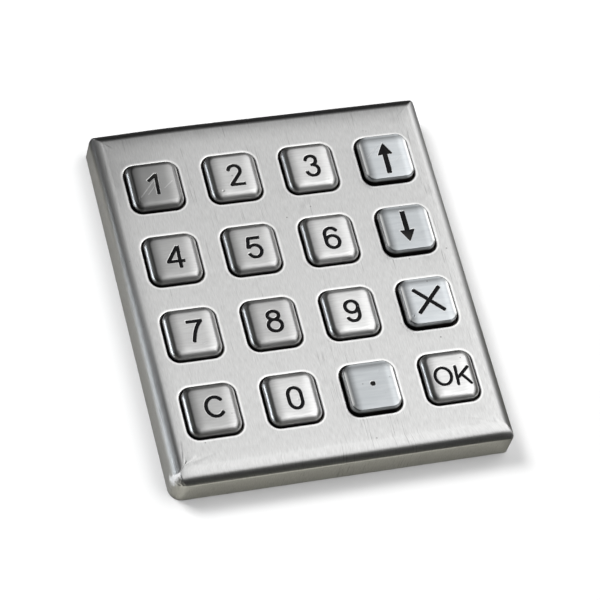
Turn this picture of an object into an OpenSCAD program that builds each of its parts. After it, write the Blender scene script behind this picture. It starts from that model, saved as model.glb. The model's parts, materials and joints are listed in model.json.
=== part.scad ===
// Sixteen-key stainless keypad of an access reader.
// A folded steel plate holds metal keys, a guide frame, a silicone mat, a circuit board and a recessed back plate.
// The origin is at the middle of the face that rests on the wall, and +Z points out through the keys.

/* [Key field] */
// Distance between key columns
col_pitch = 20; // [18:0.5:26]
// Distance between key rows
row_pitch = 20.9; // [19:0.1:27]
// Width and length of each square key opening
opening_w = 14; // [11:0.5:17]
// Corner radius of each key opening
opening_r = 3; // [2:0.1:4]

/* [Front plate] */
// Steel left between the outer openings and the sides of the plate
side_margin = 5.75; // [5:0.25:20]
// Steel left between the outer openings and the two ends of the plate
end_margin = 10.55; // [10:0.25:25]
// Thickness of the steel sheet
sheet_t = 1.2; // [0.8:0.1:2]
// Outer radius of the folded edges
bend_r = 2.2; // [2:0.1:3.4]
// Outer radius of the four upright corners
corner_r = 3.5; // [3.4:0.1:6]

/* [Keys] */
// Free space between a key cap and its opening, on each side
key_gap = 0.5; // [0.3:0.05:0.8]
// Height of a resting key above the plate
key_rise = 2.1; // [1.6:0.1:3.5]
// Distance that a key travels
key_travel = 1; // [0.4:0.1:1.5]
// Edge radius of the pillow-topped keys
pillow_r = 2.2; // [1.2:0.1:2.8]
// Edge radius of the flat-topped keys
flat_r = 0.6; // [0.3:0.1:1]
// Slope of the flat-topped keys' sides, measured across one side
flat_draft = 0.35; // [0.1:0.05:0.6]
// Lip of the key's flange beyond the opening, on each side
flange_lip = 1; // [0.7:0.1:1.2]
// Thickness of the key's flange
flange_t = 1; // [0.6:0.1:2]
// Space between a resting flange and the plate
stop_gap = 0.05; // [0.02:0.01:0.2]

/* [Guide frame and gasket] */
// Free space between a flange and its pocket, on each side
guide_gap = 0.3; // [0.2:0.05:0.5]
// Thickness of the gasket under the plate
gasket_t = 0.3; // [0.2:0.1:0.8]
// Free space between the frame and the foot of the plate's inner bend
bay_gap = 0.2; // [0.1:0.1:0.6]

/* [Silicone mat] */
// Thickness of the mat's web
web_t = 0.9; // [0.6:0.1:2]
// Dome height that is left when a key is fully pressed
dome_rest = 0.35; // [0.3:0.05:1]
// Diameter of the foot of a dome
dome_foot_d = 11; // [9:0.5:13]
// Diameter of the head of a dome
dome_head_d = 7; // [6:0.25:8]
// Thickness of a dome's wall
dome_wall = 0.45; // [0.3:0.05:0.7]
// Diameter of the carbon pill under a dome's head
pill_d = 4.4; // [3:0.1:5]
// Air left under a pill when its key is fully pressed
pill_air = 0.03; // [0.02:0.01:0.1]

/* [Circuit board] */
// Thickness of the circuit board
board_t = 1.6; // [1:0.1:2.4]
// Free space between the board and the plate's walls
board_gap = 0.5; // [0.3:0.1:1.5]
// Thickness of the contact pads
pad_t = 0.05; // [0.03:0.01:0.1]
// Gap between the two halves of a contact pad
pad_split = 0.4; // [0.2:0.1:0.8]
// Height of the space for parts behind the board
parts_space = 2.1; // [1.8:0.1:6]

/* [Header] */
// Number of pins in the header
header_ways = 8; // [4:1:12]
// Distance between header pins
header_pitch = 1.5; // [1.25:0.25:2.5]
// Width of the header's shell
header_w = 5; // [4:0.25:7]
// Distance of the header below the middle of the board
header_drop = 20.9; // [14:0.1:26]

/* [Back plate] */
// Thickness of the back plate
back_t = 1.2; // [1.2:0.1:2]
// Depth of the back plate inside the plate's rim
back_recess = 0.4; // [0.2:0.1:2]
// Width of the seal around the back plate
seal_w = 1.2; // [0.8:0.1:2]

/* [Fixings] */
// Distance from the plate's ends to the row of pillars and bushes
fixing_edge = 5.4; // [5.2:0.1:6.4]
// Distance from the plate's sides to the mounting bushes
bush_side = 6.75; // [5:0.25:12]
// Outer diameter of the mounting bushes
bush_d = 5; // [4:0.25:5.4]
// Tapping diameter of the mounting bushes' thread
bush_thread_d = 2.5; // [2:0.05:3]
// Depth of the mounting bushes' thread
bush_thread_l = 6.5; // [4:0.25:7.5]
// Distance between the pillars that hold the back plate
pillar_pitch = 20; // [16:0.5:26]
// Outer diameter of the pillars
pillar_d = 4.5; // [4:0.25:5.4]
// Diameter of the back screws' thread
screw_d = 2.4; // [2:0.1:2.6]
// Diameter of the back screws' countersunk heads
screw_head_d = 4.4; // [3.8:0.1:5]
// Height of the back screws' heads
screw_head_h = 1; // [0.7:0.1:1.1]
// Free space around a fixing that passes through a piece
fixing_gap = 0.3; // [0.15:0.05:0.5]
// Free space around a screw in its thread
thread_gap = 0.05; // [0.02:0.01:0.1]

/* [Hidden] */
$fn = 48;
hull_fn = 32;
// Margin by which a cut runs past the faces that it opens
cut = 1;

// One name for each key, from the top left, row by row
KEY_NAMES = [
    "1", "2", "3", "up",
    "4", "5", "6", "down",
    "7", "8", "9", "cross",
    "clear", "0", "point", "ok"
];
// The keys with a flat top and a crisp edge
FLAT_KEYS = ["up", "down", "cross", "point"];
columns = 4;
rows = 4;

// Overall size of the plate
plate_w = (columns - 1) * col_pitch + opening_w + 2 * side_margin;
plate_l = (rows - 1) * row_pitch + opening_w + 2 * end_margin;

// Levels of the layers, from the rim upwards
back_low = back_recess;
back_high = back_low + back_t;
board_low = back_high + parts_space;
board_high = board_low + board_t;
web_high = board_high + web_t;
flange_low = web_high + key_travel + dome_rest;
flange_high = flange_low + flange_t;
plate_low = flange_high + stop_gap;
plate_high = plate_low + sheet_t;
key_high = plate_high + key_rise;
gasket_low = plate_low - gasket_t;
pill_low = board_high + pad_t + key_travel + pill_air;

// Outlines of the layers
inner_w = plate_w - 2 * sheet_t;
inner_l = plate_l - 2 * sheet_t;
inner_r = corner_r - sheet_t;
inner_bend_r = bend_r - sheet_t;
frame_inset = inner_bend_r + bay_gap;
cap_w = opening_w - 2 * key_gap;
cap_r = opening_r - key_gap;
flange_w = opening_w + 2 * flange_lip;
flange_r = 2;
pocket_w = flange_w + 2 * guide_gap;
pocket_r = flange_r + guide_gap;

// Dome and pill
dome_cavity_d = dome_foot_d - 2 * dome_wall;
dome_shoulder = 0.7 * (key_travel + dome_rest);
plug_d = pill_d + 0.2;
pill_t = 0.35;
pill_high = pill_low + pill_t;

// Header
header_l = (header_ways - 1) * header_pitch + 4.5;
header_wall = 0.7;
header_floor = 0.9;
header_clear = 1;
pin_w = 0.5;
pin_hole_d = 0.8;

// Controller chip, on the back of the board
chip_x = 20;
chip_y = 10;
chip_w = 7.5;
chip_l = 12.8;
chip_h = 1.5;
chip_lead_pitch = 1.27;
chip_lead_w = 0.4;
chip_lead_t = 0.25;
chip_lead_l = 1.2;
chip_side_leads = 10;
resistor_l = 2;
resistor_w = 1.2;
resistor_h = 0.5;
resistor_pitch = 2.6;
resistor_x = -20;
resistor_y = 10;

// Fixings
screw_hole_d = screw_d + 2 * fixing_gap;
pillar_bore_d = screw_d + 2 * thread_gap;
pillar_end = 0.6;
screw_tip = plate_low - pillar_end - 0.3;
bush_x = plate_w / 2 - bush_side;
fixing_y = plate_l / 2 - fixing_edge;
PILLARS = [for (x = [-1:1], y = [-1, 1]) [x * pillar_pitch, y * fixing_y]];
BUSHES = [for (x = [-1, 1], y = [-1, 1]) [x * bush_x, y * fixing_y]];

// Places of the keys' axes, in the order of KEY_NAMES
KEYS = [
    for (row = [0 : rows - 1], col = [0 : columns - 1])
        [(col - (columns - 1) / 2) * col_pitch, ((rows - 1) / 2 - row) * row_pitch]
];
function is_flat(name) = len([for (flat = FLAT_KEYS) if (flat == name) flat]) > 0;

// ---- Shared shapes ----

// A rectangle with round corners, about the origin
module round_rect(w, l, r) {
    square([w - 2 * r, l], center = true);
    square([w, l - 2 * r], center = true);
    for (x = [-1, 1], y = [-1, 1])
        translate([x * (w / 2 - r), y * (l / 2 - r)])
            circle(r);
}

// A flat plate with round corners, between two levels
module slab(w, l, r, low, high) {
    translate([0, 0, low])
        linear_extrude(high - low)
            round_rect(w, l, r);
}

// A round post between two levels
module post(d, low, high) {
    translate([0, 0, low])
        cylinder(d = d, h = high - low);
}

// Quarter of a folded edge: a corner rounded with radius r, with its outer sides on the axes
module fold_profile(reach, height, r) {
    square([reach, height - r]);
    square([reach - r, height]);
    translate([reach - r, height - r])
        intersection() {
            circle(r);
            square(r);
        }
}

// A box from level 0 to h, with upright corners of radius r and top edges of radius edge_r
module folded_block(w, l, h, r, edge_r) {
    cx = w / 2 - r;
    cy = l / 2 - r;
    // The four corners, each a quarter turn of the folded edge
    for (turn = [0:3]) {
        x = (turn == 0 || turn == 3) ? cx : -cx;
        y = turn < 2 ? cy : -cy;
        translate([x, y, 0])
            rotate([0, 0, 90 * turn])
                rotate_extrude(angle = 90)
                    fold_profile(r, h, edge_r);
    }
    // The two long sides
    for (side = [0, 180])
        rotate([0, 0, side])
            translate([cx, cy, 0])
                rotate([90, 0, 0])
                    linear_extrude(2 * cy)
                        fold_profile(r, h, edge_r);
    // The two short sides
    for (side = [90, 270])
        rotate([0, 0, side])
            translate([cy, cx, 0])
                rotate([90, 0, 0])
                    linear_extrude(2 * cx)
                        fold_profile(r, h, edge_r);
    // The middle
    translate([-cx, -cy, 0])
        cube([2 * cx, 2 * cy, h]);
}

// Clear holes for the bushes and pillars through a whole outline
module fixing_holes() {
    for (p = BUSHES)
        translate(p)
            circle(d = bush_d + 2 * fixing_gap);
    for (p = PILLARS)
        translate(p)
            circle(d = pillar_d + 2 * fixing_gap);
}

// Open notches for the bushes and pillars, running out past the two ends of an outline
module fixing_notches() {
    fixing_holes();
    for (p = BUSHES)
        notch(p, bush_d + 2 * fixing_gap);
    for (p = PILLARS)
        notch(p, pillar_d + 2 * fixing_gap);
}

module notch(p, w) {
    run = fixing_edge + cut;
    translate([p[0] - w / 2, p[1] > 0 ? p[1] : p[1] - run])
        square([w, run]);
}

// ---- Sub-parts that stay still ----

module front_plate() {
    color([0.78, 0.78, 0.77])
        difference() {
            folded_block(plate_w, plate_l, plate_high, corner_r, bend_r);
            translate([0, 0, -cut])
                folded_block(inner_w, inner_l, plate_low + cut, inner_r, inner_bend_r);
            for (p = KEYS)
                translate(p)
                    slab(opening_w, opening_w, opening_r, plate_low - cut, plate_high + cut);
        }
}

// The outline that the gasket and the guide frame share
module frame_outline() {
    difference() {
        round_rect(
            inner_w - 2 * frame_inset,
            inner_l - 2 * frame_inset,
            max(inner_r - frame_inset, 0.8)
        );
        for (p = KEYS)
            translate(p)
                round_rect(pocket_w, pocket_w, pocket_r);
        fixing_notches();
    }
}

module plate_gasket() {
    color([0.16, 0.16, 0.17])
        translate([0, 0, gasket_low])
            linear_extrude(gasket_t)
                frame_outline();
}

module guide_frame() {
    color([0.12, 0.12, 0.13])
        translate([0, 0, web_high])
            linear_extrude(gasket_low - web_high)
                frame_outline();
}

// The outline that the mat and the board share
module board_outline() {
    round_rect(inner_w - 2 * board_gap, inner_l - 2 * board_gap, inner_r - board_gap);
}

// One dome of the mat: a sloping wall, a head with a plug, and a foot that stands on the board
module dome() {
    foot_r = dome_foot_d / 2;
    head_r = dome_head_d / 2;
    shoulder_z = web_high + dome_shoulder;
    ceiling_z = flange_low - dome_wall;
    rotate_extrude()
        polygon([
            [foot_r - dome_wall, board_high],
            [foot_r + dome_wall, board_high],
            [foot_r + dome_wall, web_high],
            [foot_r, web_high],
            [head_r + dome_wall, shoulder_z],
            [head_r, flange_low],
            [0, flange_low],
            [0, pill_high],
            [plug_d / 2, pill_high],
            [plug_d / 2, ceiling_z],
            [head_r - dome_wall, ceiling_z],
            [foot_r - dome_wall, web_high]
        ]);
}

module key_mat() {
    color([0.62, 0.64, 0.66]) {
        translate([0, 0, board_high])
            linear_extrude(web_t)
                difference() {
                    board_outline();
                    fixing_holes();
                    for (p = KEYS)
                        translate(p)
                            circle(d = dome_foot_d);
                }
        for (p = KEYS)
            translate(p)
                dome();
    }
}

// Places of the header's pins
HEADER_PINS = [
    for (i = [0 : header_ways - 1])
        [(i - (header_ways - 1) / 2) * header_pitch, -header_drop]
];

module circuit_board() {
    color([0.05, 0.32, 0.18])
        translate([0, 0, board_low])
            linear_extrude(board_t)
                difference() {
                    board_outline();
                    for (p = BUSHES)
                        translate(p)
                            circle(d = bush_d + 2 * fixing_gap);
                    for (p = PILLARS)
                        translate(p)
                            circle(d = screw_hole_d);
                    for (p = HEADER_PINS)
                        translate(p)
                            circle(d = pin_hole_d);
                }
}

module contact_pads() {
    color([0.2, 0.2, 0.21])
        for (p = KEYS, side = [-1, 1])
            translate([p[0], p[1], board_high])
                linear_extrude(pad_t)
                    intersection() {
                        circle(d = plug_d);
                        translate([side * (pad_split + plug_d) / 2, 0])
                            square(plug_d, center = true);
                    }
}

module controller_chip() {
    color([0.09, 0.09, 0.1])
        translate([chip_x - chip_w / 2, chip_y - chip_l / 2, board_low - chip_h])
            cube([chip_w, chip_l, chip_h - chip_lead_t]);
}

module chip_leads() {
    color([0.82, 0.82, 0.8])
        for (i = [0 : chip_side_leads - 1], side = [-1, 1])
            translate([
                chip_x + side * (chip_w + chip_lead_l) / 2,
                chip_y + (i - (chip_side_leads - 1) / 2) * chip_lead_pitch,
                board_low - chip_lead_t
            ])
                lead(side);
}

// One bent lead: a foot on the board and a riser against the chip's side
module lead(side) {
    rise = chip_h / 2;
    translate([-chip_lead_l / 2, -chip_lead_w / 2, 0])
        cube([chip_lead_l, chip_lead_w, chip_lead_t]);
    translate([side > 0 ? -chip_lead_l / 2 : chip_lead_l / 2 - chip_lead_t, -chip_lead_w / 2, -rise])
        cube([chip_lead_t, chip_lead_w, rise + chip_lead_t]);
}

module row_resistors() {
    color([0.15, 0.15, 0.16])
        for (i = [0 : columns + rows - 1])
            translate([
                resistor_x - resistor_l / 2,
                resistor_y + (i - (columns + rows - 1) / 2) * resistor_pitch - resistor_w / 2,
                board_low - resistor_h
            ])
                cube([resistor_l, resistor_w, resistor_h]);
}

module header_shell() {
    color([0.9, 0.88, 0.8])
        difference() {
            translate([-header_l / 2, -header_drop - header_w / 2, back_low])
                cube([header_l, header_w, board_low - back_low]);
            translate([
                -header_l / 2 + header_wall,
                -header_drop - header_w / 2 + header_wall,
                back_low - cut
            ])
                cube([
                    header_l - 2 * header_wall,
                    header_w - 2 * header_wall,
                    board_low - back_low - header_floor + cut
                ]);
            // A keyway in one long side, so that the plug goes in only one way round
            translate([-header_pitch, -header_drop - header_w / 2 - cut, back_low - cut])
                cube([
                    2 * header_pitch,
                    header_wall + 2 * cut,
                    board_low - back_low - 2 * header_floor + cut
                ]);
            for (p = HEADER_PINS)
                translate([p[0], p[1], 0])
                    post(pin_hole_d, back_low, board_low + cut);
        }
}

module header_pins() {
    pin_low = back_low + header_wall;
    pin_high = board_high - pad_t;
    color([0.85, 0.72, 0.4])
        for (p = HEADER_PINS)
            translate([p[0] - pin_w / 2, p[1] - pin_w / 2, pin_low])
                cube([pin_w, pin_w, pin_high - pin_low]);
}

module back_plate() {
    color([0.66, 0.67, 0.68])
        difference() {
            translate([0, 0, back_low])
                linear_extrude(back_t)
                    difference() {
                        round_rect(
                            inner_w - 2 * seal_w,
                            inner_l - 2 * seal_w,
                            max(inner_r - seal_w, 0.8)
                        );
                        for (p = BUSHES)
                            translate(p)
                                circle(d = bush_d + 2 * fixing_gap);
                        for (p = PILLARS)
                            translate(p)
                                circle(d = screw_hole_d);
                        translate([0, -header_drop])
                            square(
                                [header_l + 2 * header_clear, header_w + 2 * header_clear],
                                center = true
                            );
                    }
            for (p = PILLARS)
                translate([p[0], p[1], back_low - cut])
                    screw_head(thread_gap, cut);
        }
}

// A countersunk head, grown by a gap all round and carried down by a run below its flat face
module screw_head(gap, run) {
    low_d = screw_head_d + 2 * gap;
    cylinder(d = low_d, h = run);
    translate([0, 0, run])
        cylinder(d1 = low_d, d2 = screw_d + 2 * gap, h = screw_head_h);
}

module back_seal() {
    color([0.13, 0.13, 0.14])
        translate([0, 0, back_low])
            linear_extrude(back_t)
                difference() {
                    round_rect(inner_w, inner_l, inner_r);
                    round_rect(
                        inner_w - 2 * seal_w,
                        inner_l - 2 * seal_w,
                        max(inner_r - seal_w, 0.8)
                    );
                }
}

// Threaded pillars, welded under the plate
module pillars() {
    color([0.74, 0.74, 0.75])
        for (p = PILLARS)
            translate(p)
                difference() {
                    post(pillar_d, board_high, plate_low);
                    post(pillar_bore_d, board_high - cut, plate_low - pillar_end);
                }
}

module spacers() {
    color([0.9, 0.9, 0.87])
        for (p = PILLARS)
            translate(p)
                difference() {
                    post(pillar_d, back_high, board_low);
                    post(screw_hole_d, back_high - cut, board_low + cut);
                }
}

module back_screws() {
    slot_w = 0.5;
    slot_l = screw_head_d - 1.6;
    slot_h = 0.5;
    color([0.55, 0.56, 0.58])
        for (p = PILLARS)
            translate([p[0], p[1], back_low])
                difference() {
                    union() {
                        screw_head(0, 0);
                        post(screw_d, screw_head_h, screw_tip - back_low);
                    }
                    for (turn = [0, 90])
                        rotate([0, 0, turn])
                            translate([-slot_l / 2, -slot_w / 2, -cut])
                                cube([slot_l, slot_w, slot_h + cut]);
                }
}

// Threaded bushes at the corners, open at the back for the mounting screws
module mount_bushes() {
    color([0.7, 0.7, 0.71])
        for (p = BUSHES)
            translate(p)
                difference() {
                    post(bush_d, 0, plate_low);
                    post(bush_thread_d, -cut, bush_thread_l);
                }
}

// ---- Moving sub-parts ----

// Steps of a key's rounded edge, as [inset from the cap's side, depth below its top]
function edge_steps(r, steps) =
    [for (k = [0 : steps]) let (a = 90 * k / steps) [r * (1 - cos(a)), r * (1 - sin(a))]];

// A pillow-topped cap is upright and has a large edge radius; a flat-topped one leans in and is crisp
function cap_steps(flat) = flat
    ? concat(
        [[0, key_rise]],
        [for (s = edge_steps(flat_r, 3)) [s[0] + flat_draft, s[1]]]
    )
    : edge_steps(pillow_r, 6);

module key(i) {
    steps = cap_steps(is_flat(KEY_NAMES[i]));
    leaf = 0.01;
    color(is_flat(KEY_NAMES[i]) ? [0.68, 0.71, 0.73] : [0.76, 0.76, 0.75])
        translate(KEYS[i]) {
            slab(flange_w, flange_w, flange_r, flange_low, flange_high);
            hull() {
                translate([0, 0, flange_high])
                    linear_extrude(leaf)
                        round_rect(cap_w, cap_w, cap_r, $fn = hull_fn);
                for (s = steps)
                    translate([0, 0, key_high - s[1] - leaf])
                        linear_extrude(leaf)
                            round_rect(
                                cap_w - 2 * s[0],
                                cap_w - 2 * s[0],
                                max(cap_r - s[0], 0.6),
                                $fn = hull_fn
                            );
            }
        }
}

module pill(i) {
    color([0.1, 0.1, 0.1])
        translate(KEYS[i])
            post(pill_d, pill_low, pill_high);
}

front_plate();
plate_gasket();
guide_frame();
key_mat();
circuit_board();
contact_pads();
controller_chip();
chip_leads();
row_resistors();
header_shell();
header_pins();
back_plate();
back_seal();
pillars();
spacers();
back_screws();
mount_bushes();
for (i = [0 : len(KEY_NAMES) - 1]) {
    key(i);
    pill(i);
}
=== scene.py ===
# %% [markdown]
# # A sixteen-key steel keypad, surfaced around its CAD frame
#
# The keypad of a door reader: a folded stainless plate, sixteen metal keys with engraved legends, and
# behind them a guide frame, a silicone mat, a circuit board and a back plate.
#
# The CAD model already holds every size. Blender is here for what a maker would see and feel: the
# direction of the brushing, the roll of a punched edge, enamel sitting a little low in an engraving.
# So each place below is read from the frame, and only shape and finish are added.

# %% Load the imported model
import json
import math

import bpy
import numpy as np
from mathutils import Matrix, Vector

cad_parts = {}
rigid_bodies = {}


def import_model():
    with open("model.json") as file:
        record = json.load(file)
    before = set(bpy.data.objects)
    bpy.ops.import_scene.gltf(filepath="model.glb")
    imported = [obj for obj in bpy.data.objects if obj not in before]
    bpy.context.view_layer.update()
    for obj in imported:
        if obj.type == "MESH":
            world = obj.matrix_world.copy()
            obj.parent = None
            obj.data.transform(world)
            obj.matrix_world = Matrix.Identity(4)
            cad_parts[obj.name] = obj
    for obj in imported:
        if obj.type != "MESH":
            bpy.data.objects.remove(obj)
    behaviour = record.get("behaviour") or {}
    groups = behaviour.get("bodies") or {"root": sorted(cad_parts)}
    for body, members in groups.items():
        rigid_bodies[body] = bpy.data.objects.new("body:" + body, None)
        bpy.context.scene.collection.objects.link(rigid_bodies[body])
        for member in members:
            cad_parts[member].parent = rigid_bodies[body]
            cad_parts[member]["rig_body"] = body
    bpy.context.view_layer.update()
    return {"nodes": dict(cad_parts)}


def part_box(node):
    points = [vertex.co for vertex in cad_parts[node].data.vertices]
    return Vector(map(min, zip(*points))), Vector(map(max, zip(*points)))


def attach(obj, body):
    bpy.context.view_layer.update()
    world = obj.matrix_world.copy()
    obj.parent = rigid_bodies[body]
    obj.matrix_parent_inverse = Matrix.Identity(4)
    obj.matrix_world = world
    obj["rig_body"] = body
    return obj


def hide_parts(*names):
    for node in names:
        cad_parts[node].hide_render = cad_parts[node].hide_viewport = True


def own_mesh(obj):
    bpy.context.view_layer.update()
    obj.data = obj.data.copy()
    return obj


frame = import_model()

MM = 0.001

# %% [markdown]
# ## Measures from the frame
#
# Lengths in this lesson are in millimetres, because that is how sheet metal is drawn, and they become
# metres only when a mesh is made. Levels come from the boxes of the CAD nodes.


# %% Levels and outlines
def span(node):
    """Lowest and highest corner of a CAD node, in millimetres."""
    low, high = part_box(node)
    return np.array(low) / MM, np.array(high) / MM


KEY_NAMES = [n[4:] for n in frame["nodes"] if n.startswith("key_") and n != "key_mat"]
FLAT_KEYS = ("up", "down", "cross", "point")
half_w, half_l, plate_top = span("front_plate")[1]
plate_under = span("plate_gasket")[1][2]
flange_low, key_top = span("key_2")[0][2], span("key_2")[1][2]
web_low, web_high = span("circuit_board")[1][2], span("guide_frame")[0][2]
SHEET = plate_top - plate_under


def key_centre(name):
    """Where a key's axis stands, seen from above."""
    low, high = span("key_" + name)
    return (low[:2] + high[:2]) / 2


print(f"plate {2 * half_w:.1f} x {2 * half_l:.1f} mm, top at {plate_top:.2f}, key tops at {key_top:.2f}")

# %% [markdown]
# ## The camera
#
# The keypad lies on its back, seen from the front, the left and above through a long lens, so that
# its edges stay almost parallel. The camera comes first, because light on brushed steel
# is a matter of where the eye stands.

# %% Camera
camera_data = bpy.data.cameras.new("camera")
camera_data.sensor_width = 36
camera_data.lens = 180.2
camera_data.clip_start = 0.01
camera = bpy.data.objects.new("camera", camera_data)
camera.location = (-0.1974, -0.3293, 0.6383)
camera.rotation_euler = [math.radians(a) for a in (29.56, -10.104, -13.961)]
bpy.context.scene.collection.objects.link(camera)
bpy.context.scene.camera = camera
print("camera at", tuple(round(x, 3) for x in camera.location))

# %% [markdown]
# ## Rings, bands and welds
#
# Nearly every piece here is a stack of closed rings. A ring is a rounded rectangle: a point on it is
# `base * core + normal * radius`, where `core` is the rectangle of the corner centres. Rings that
# share the same `base` and `normal` are offsets of each other, so a band of quads between two of them
# never twists. That one formula draws punched openings, folded walls and key caps.


# %% Ring, band and weld helpers
def side_arrays(count, tau):
    """Base and normal of one side, as a function of t from 0 to 1 along it.

    The first and last share tau of the side turn through the half corners, from -45 to 0 and from 0
    to 45 degrees, and the rest runs straight.
    """
    t = np.arange(count) / count
    turn = np.where(t < tau, t / tau - 1, np.where(t > 1 - tau, (t - 1 + tau) / tau, 0)) * math.pi / 4
    along = np.clip((t - tau) / max(1 - 2 * tau, 1e-9), 0, 1) * 2 - 1
    return np.stack([np.ones(count), along], 1), np.stack([np.cos(turn), np.sin(turn)], 1)


def ring_arrays(xs, ys, tau):
    """Base and normal of a whole ring, anticlockwise from the lower right corner.

    Its four sides have as many points as a rectangle along the grid lines xs and ys.
    """
    bases, normals = [], []
    for quarter in range(4):
        c, s = round(math.cos(quarter * math.pi / 2)), round(math.sin(quarter * math.pi / 2))
        turn = np.array([[c, s], [-s, c]])
        base, normal = side_arrays(len(xs if quarter % 2 else ys) - 1, tau)
        bases.append(base @ turn)
        normals.append(normal @ turn)
    return np.concatenate(bases), np.concatenate(normals)


def lift(flat, z):
    """Points in a plane, raised to a height or to an array of heights."""
    return np.column_stack([flat, np.broadcast_to(z, len(flat))])


def band(rows, start=0):
    """Quads between successive rings of a (rows, points) stack whose numbering starts at start."""
    numbers = start + np.arange(rows[0] * rows[1]).reshape(rows)
    after = np.roll(numbers, -1, 1)
    return np.stack([numbers[:-1], numbers[1:], after[1:], after[:-1]], -1).reshape(-1, 4)


def join_stacks(stacks):
    """Joins (points, (rows, width)) stacks into one array of points and one of quads."""
    starts = np.cumsum([0] + [len(points) for points, _ in stacks])
    quads = [band(rows, start) for (_, rows), start in zip(stacks, starts)]
    return np.concatenate([points for points, _ in stacks]), np.concatenate(quads)


def metal_length(rows):
    """Length of metal from the first ring of a stack to each of its rings, at every point."""
    step = np.linalg.norm(np.diff(rows, axis=0), axis=2)
    return np.concatenate([np.zeros((1, rows.shape[1])), np.cumsum(step, 0)])


def weld(points, faces, extra=None):
    """Merges the points that share a place, to a ten-thousandth of a millimetre."""
    _, first, where = np.unique(np.round(points, 4), axis=0, return_index=True, return_inverse=True)
    where = where.reshape(-1)
    return points[first], [where[f] for f in faces], None if extra is None else extra[first]


# %% Piece helpers
def make_piece(name, points, faces, uv=None, **values):
    """A smooth mesh object at the origin, from points in millimetres and arrays of face corners.

    uv is a pair of numbers for each point, and each named value one number, for the material to read.
    """
    corners = np.concatenate([f.ravel() for f in faces])
    sizes = np.concatenate([np.full(len(f), f.shape[1]) for f in faces])
    mesh = bpy.data.meshes.new(name)
    mesh.vertices.add(len(points))
    mesh.vertices.foreach_set("co", (points * MM).astype(np.float32).ravel())
    mesh.loops.add(len(corners))
    mesh.loops.foreach_set("vertex_index", corners.astype(np.int32))
    mesh.polygons.add(len(sizes))
    mesh.polygons.foreach_set("loop_start", (np.cumsum(sizes) - sizes).astype(np.int32))
    if uv is not None:
        layer = mesh.uv_layers.new(name="grain")
        layer.uv.foreach_set("vector", uv[corners].astype(np.float32).ravel())
    mesh.update(calc_edges=True)
    mesh.validate()
    mesh.shade_smooth()
    for label, numbers in values.items():
        layer = mesh.attributes.new(label, "FLOAT", "POINT")
        layer.data.foreach_set("value", numbers.astype(np.float32))
    piece = bpy.data.objects.new(name, mesh)
    bpy.context.scene.collection.objects.link(piece)
    return piece


def stand_in(piece, body, node):
    """Puts a piece on its body, in place of a CAD node, which it hides."""
    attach(piece, body)
    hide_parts(node)


def quarter_round(radius, steps):
    """Pairs (inset, drop) round a quarter circle: radius * (1 - cos(a)) and radius * (1 - sin(a))."""
    a = np.linspace(0, math.pi / 2, steps + 1)
    return list(zip(radius * (1 - np.cos(a)), radius * (1 - np.sin(a))))


print("helpers ready")

# %% [markdown]
# ## The front plate
#
# The real plate is one blank of stainless sheet: sixteen openings are punched, four sides are folded
# down, and the corners are welded and dressed with a flap wheel. A cube with bevels would give every
# edge the same roll. Here the long sides roll over slowly and the two ends fold tighter, the punched
# edges have the small radius that deburring leaves, and the dressed corners are a little uneven.
#
# The sheet is made of cells, one for each opening. In each cell a stack of rings runs from the
# underside, up the punched wall and out over the top. A last stack of rings takes the border over the
# fold, down the wall, round the rim and back up inside, so the sheet has its true thickness everywhere.

# %% Values of the plate
CORNER_R = 1.1              # three corners, dressed almost square
FIRST_CORNER_R = 3.4        # the fourth, at -X and -Y, was dressed rounder
CORNER_DEPTH, FIRST_DEPTH = 0.1, 0.55    # how much metal the flap wheel took there
FOLD_DROP = 2.4
FOLD_REACH = 2.8            # of the long sides, which turn a full right angle
NEAR_END = (5.1, 58)        # radius, and degrees turned before a crease starts the wall, at -Y
FAR_END = (3.6, 45)         # the same at +Y
INNER_BEND = 1.4
RIM_BREAK = 0.18
CROWN, CROWN_WIDTH = 0.5, 6.5    # how far the sheet has sunk at its very edge, and over what width
CROWN_ENDS = (0.8, 0.15)    # the share of it at +Y and at -Y
SAG = (0.8, 14)             # depth and reach of the corner at -X and +Y, bent when it was folded
OPENING_HALF, OPENING_R = 7.0, 3.0
PUNCH_ROLL, BURR = 0.28, 0.08
POINTS_PER_CELL = 24
cell_x = np.array([-half_w + 3.9, -20, 0, 20, half_w - 3.9])
cell_y = np.array([-41.8, -20.9, 0, 20.9, 41.8])


# %% Cells of a punched sheet
def rectangle_ring(xs, ys):
    """Points round a rectangle, anticlockwise from the lower right corner, along given coordinates."""
    return np.concatenate([
        np.column_stack([np.full(len(ys) - 1, xs[-1]), ys[:-1]]),
        np.column_stack([xs[:0:-1], np.full(len(xs) - 1, ys[-1])]),
        np.column_stack([np.full(len(ys) - 1, xs[0]), ys[:0:-1]]),
        np.column_stack([xs[:-1], np.full(len(xs) - 1, ys[0])]),
    ])


def divide(edges, count=None):
    """Grid lines from the first edge to the last: each gap in count steps, or in steps near 1 mm."""
    gaps = [
        np.linspace(a, b, count or max(1, round(b - a)), endpoint=False)
        for a, b in zip(edges[:-1], edges[1:])
    ]
    return np.concatenate([*gaps, edges[-1:]])


def cell_lines(centre, edges, lines):
    """The grid lines, along X and along Y, of the cell that a place lies in."""
    found = []
    for place, cuts, row in zip(centre, edges, lines):
        k = np.searchsorted(cuts, place)
        found.append(row[(row > cuts[k - 1] - 0.01) & (row < cuts[k] + 0.01)])
    return found


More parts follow.
